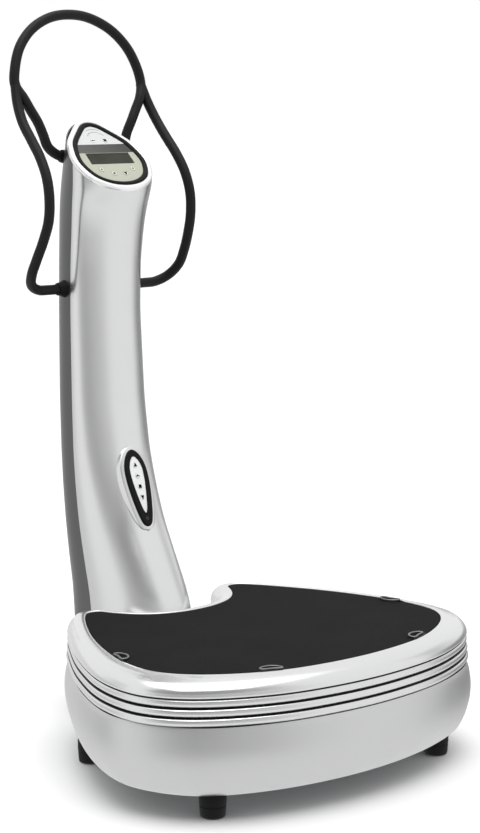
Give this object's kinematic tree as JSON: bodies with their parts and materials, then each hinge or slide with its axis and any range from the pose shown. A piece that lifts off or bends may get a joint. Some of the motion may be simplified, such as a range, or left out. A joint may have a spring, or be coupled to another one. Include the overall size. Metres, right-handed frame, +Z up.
{
  "type": "vibration plate",
  "caption": "Whole-body vibration plate: a sprung platform with a black mat on a moulded base, and a column with a console, a control pod and a looped handlebar.",
  "frame": {"origin": "centre of the bounding box, at floor level", "axes": "+Z up, -Y towards the user, +X to the right of a user who faces the column"},
  "size_m": [0.8998, 1.0129, 1.549],
  "materials": {
    "silver_plastic": "satin silver paint",
    "bright_trim": "bright silver paint",
    "bar_metal": "black satin coating",
    "black_plastic": "satin",
    "rubber": "matt",
    "mat_rubber": "fine grained, matt",
    "steel": "grey primer",
    "bright_steel": "machined",
    "drive_case": "die cast",
    "cream_panel": "satin film",
    "white_panel": "satin film",
    "display": "clear window over a dark display"
  },
  "bodies": {
    "base": {"base_frame": "steel", "base_cover": "silver_plastic", "bellows": "silver_plastic", "drive_box": "drive_case", "power_inlet": "black_plastic", "column_post": "steel", "column_front_cover": "silver_plastic", "column_rear_cover": "silver_plastic", "foot_front_left": "rubber", "foot_front_right": "rubber", "foot_rear_left": "rubber", "foot_rear_right": "rubber", "rubber_mount_front_left": "rubber", "rubber_mount_front_right": "rubber", "rubber_mount_rear_left": "rubber", "rubber_mount_rear_right": "rubber", "console_rim": "bright_trim", "console_ring": "black_plastic", "console_face": "cream_panel", "display": "display", "console_tray": "black_plastic", "pod_housing": "silver_plastic", "pod_bezel": "black_plastic", "pod_face": "white_panel", "infrared_window": "display", "hoop": "bar_metal", "grip_left": "bar_metal", "grip_right": "bar_metal", "collar_upper_left": "black_plastic", "collar_upper_right": "black_plastic", "collar_lower_left": "black_plastic", "collar_lower_right": "black_plastic"},
    "platform": {"plate_core": "steel", "plate_rim": "silver_plastic", "mat": "mat_rubber", "motor_left": "steel", "motor_right": "steel"},
    "rotor_left": {"shaft_left": "bright_steel", "weight_front_left": "bright_steel", "weight_rear_left": "bright_steel"},
    "rotor_right": {"shaft_right": "bright_steel", "weight_front_right": "bright_steel", "weight_rear_right": "bright_steel"},
    "switch": {"power_switch": "black_plastic"},
    "ring_front_left": {"strap_ring_front_left": "bright_steel"},
    "ring_front_right": {"strap_ring_front_right": "bright_steel"},
    "ring_side_left": {"strap_ring_side_left": "bright_steel"},
    "ring_side_right": {"strap_ring_side_right": "bright_steel"},
    "console_button_1": {"console_key_1": "black_plastic"},
    "console_button_2": {"console_key_2": "black_plastic"},
    "console_button_3": {"console_key_3": "black_plastic"},
    "console_button_4": {"console_key_4": "black_plastic"},
    "console_button_5": {"console_key_5": "black_plastic"},
    "console_button_6": {"console_key_6": "black_plastic"},
    "pod_button_1": {"pod_key_1": "black_plastic"},
    "pod_button_2": {"pod_key_2": "black_plastic"},
    "pod_button_3": {"pod_key_3": "black_plastic"},
    "pod_button_4": {"pod_key_4": "black_plastic"}
  },
  "joints": [
    {"name": "plate_travel", "type": "slide", "parent": "base", "child": "platform", "axis": [0, 0, 1], "range_m": [-0.006, 0.003], "stiffness_N_per_m": 293090, "springref_m": 0.00248, "deforming": ["bellows", "rubber_mount_front_left", "rubber_mount_front_right", "rubber_mount_rear_left", "rubber_mount_rear_right"]},
    {"name": "rotor_left_spin", "type": "hinge", "parent": "platform", "child": "rotor_left", "pos_m": [-0.13, -0.18, 0.192], "axis": [0, 1, 0], "continuous": true},
    {"name": "rotor_right_spin", "type": "hinge", "parent": "platform", "child": "rotor_right", "pos_m": [0.13, -0.18, 0.192], "axis": [0, 1, 0], "continuous": true},
    {"name": "power_switch_tilt", "type": "hinge", "parent": "base", "child": "switch", "pos_m": [0.017, 0.446, 0.11], "axis": [1, 0, 0], "range_deg": [-16, 0]},
    {"name": "ring_side_left_lift", "type": "hinge", "parent": "platform", "child": "ring_side_left", "pos_m": [-0.369, -0.158, 0.2848], "axis": [-0.2756, -0.9613, 0], "range_deg": [0, 100]},
    {"name": "ring_side_right_lift", "type": "hinge", "parent": "platform", "child": "ring_side_right", "pos_m": [0.369, -0.158, 0.2848], "axis": [-0.2756, 0.9613, 0], "range_deg": [0, 100]},
    {"name": "ring_front_left_lift", "type": "hinge", "parent": "platform", "child": "ring_front_left", "pos_m": [-0.197, -0.417, 0.2848], "axis": [0.9135, -0.4067, 0], "range_deg": [0, 100]},
    {"name": "ring_front_right_lift", "type": "hinge", "parent": "platform", "child": "ring_front_right", "pos_m": [0.197, -0.417, 0.2848], "axis": [0.9135, 0.4067, 0], "range_deg": [0, 100]},
    {"name": "console_button_1_press", "type": "slide", "parent": "base", "child": "console_button_1", "axis": [0, 0.6691, -0.7431], "range_m": [0, 0.001], "stiffness_N_per_m": 400, "springref_m": -0.0006},
    {"name": "console_button_2_press", "type": "slide", "parent": "base", "child": "console_button_2", "axis": [0, 0.6691, -0.7431], "range_m": [0, 0.001], "stiffness_N_per_m": 400, "springref_m": -0.0006},
    {"name": "console_button_3_press", "type": "slide", "parent": "base", "child": "console_button_3", "axis": [0, 0.6691, -0.7431], "range_m": [0, 0.001], "stiffness_N_per_m": 400, "springref_m": -0.0006},
    {"name": "console_button_4_press", "type": "slide", "parent": "base", "child": "console_button_4", "axis": [0, 0.6691, -0.7431], "range_m": [0, 0.001], "stiffness_N_per_m": 400, "springref_m": -0.0006},
    {"name": "console_button_5_press", "type": "slide", "parent": "base", "child": "console_button_5", "axis": [0, 0.6691, -0.7431], "range_m": [0, 0.001], "stiffness_N_per_m": 400, "springref_m": -0.0006},
    {"name": "console_button_6_press", "type": "slide", "parent": "base", "child": "console_button_6", "axis": [0, 0.6691, -0.7431], "range_m": [0, 0.001], "stiffness_N_per_m": 400, "springref_m": -0.0006},
    {"name": "pod_button_1_press", "type": "slide", "parent": "base", "child": "pod_button_1", "axis": [0, 0.9322, -0.3619], "range_m": [0, 0.001], "stiffness_N_per_m": 400, "springref_m": -0.0006},
    {"name": "pod_button_2_press", "type": "slide", "parent": "base", "child": "pod_button_2", "axis": [0, 0.9322, -0.3619], "range_m": [0, 0.001], "stiffness_N_per_m": 400, "springref_m": -0.0006},
    {"name": "pod_button_3_press", "type": "slide", "parent": "base", "child": "pod_button_3", "axis": [0, 0.9322, -0.3619], "range_m": [0, 0.001], "stiffness_N_per_m": 400, "springref_m": -0.0006},
    {"name": "pod_button_4_press", "type": "slide", "parent": "base", "child": "pod_button_4", "axis": [0, 0.9322, -0.3619], "range_m": [0, 0.001], "stiffness_N_per_m": 400, "springref_m": -0.0006}
  ],
  "couplings": [
    {"joint": "rotor_right_spin", "follows": "rotor_left_spin", "ratio": -1}
  ]
}
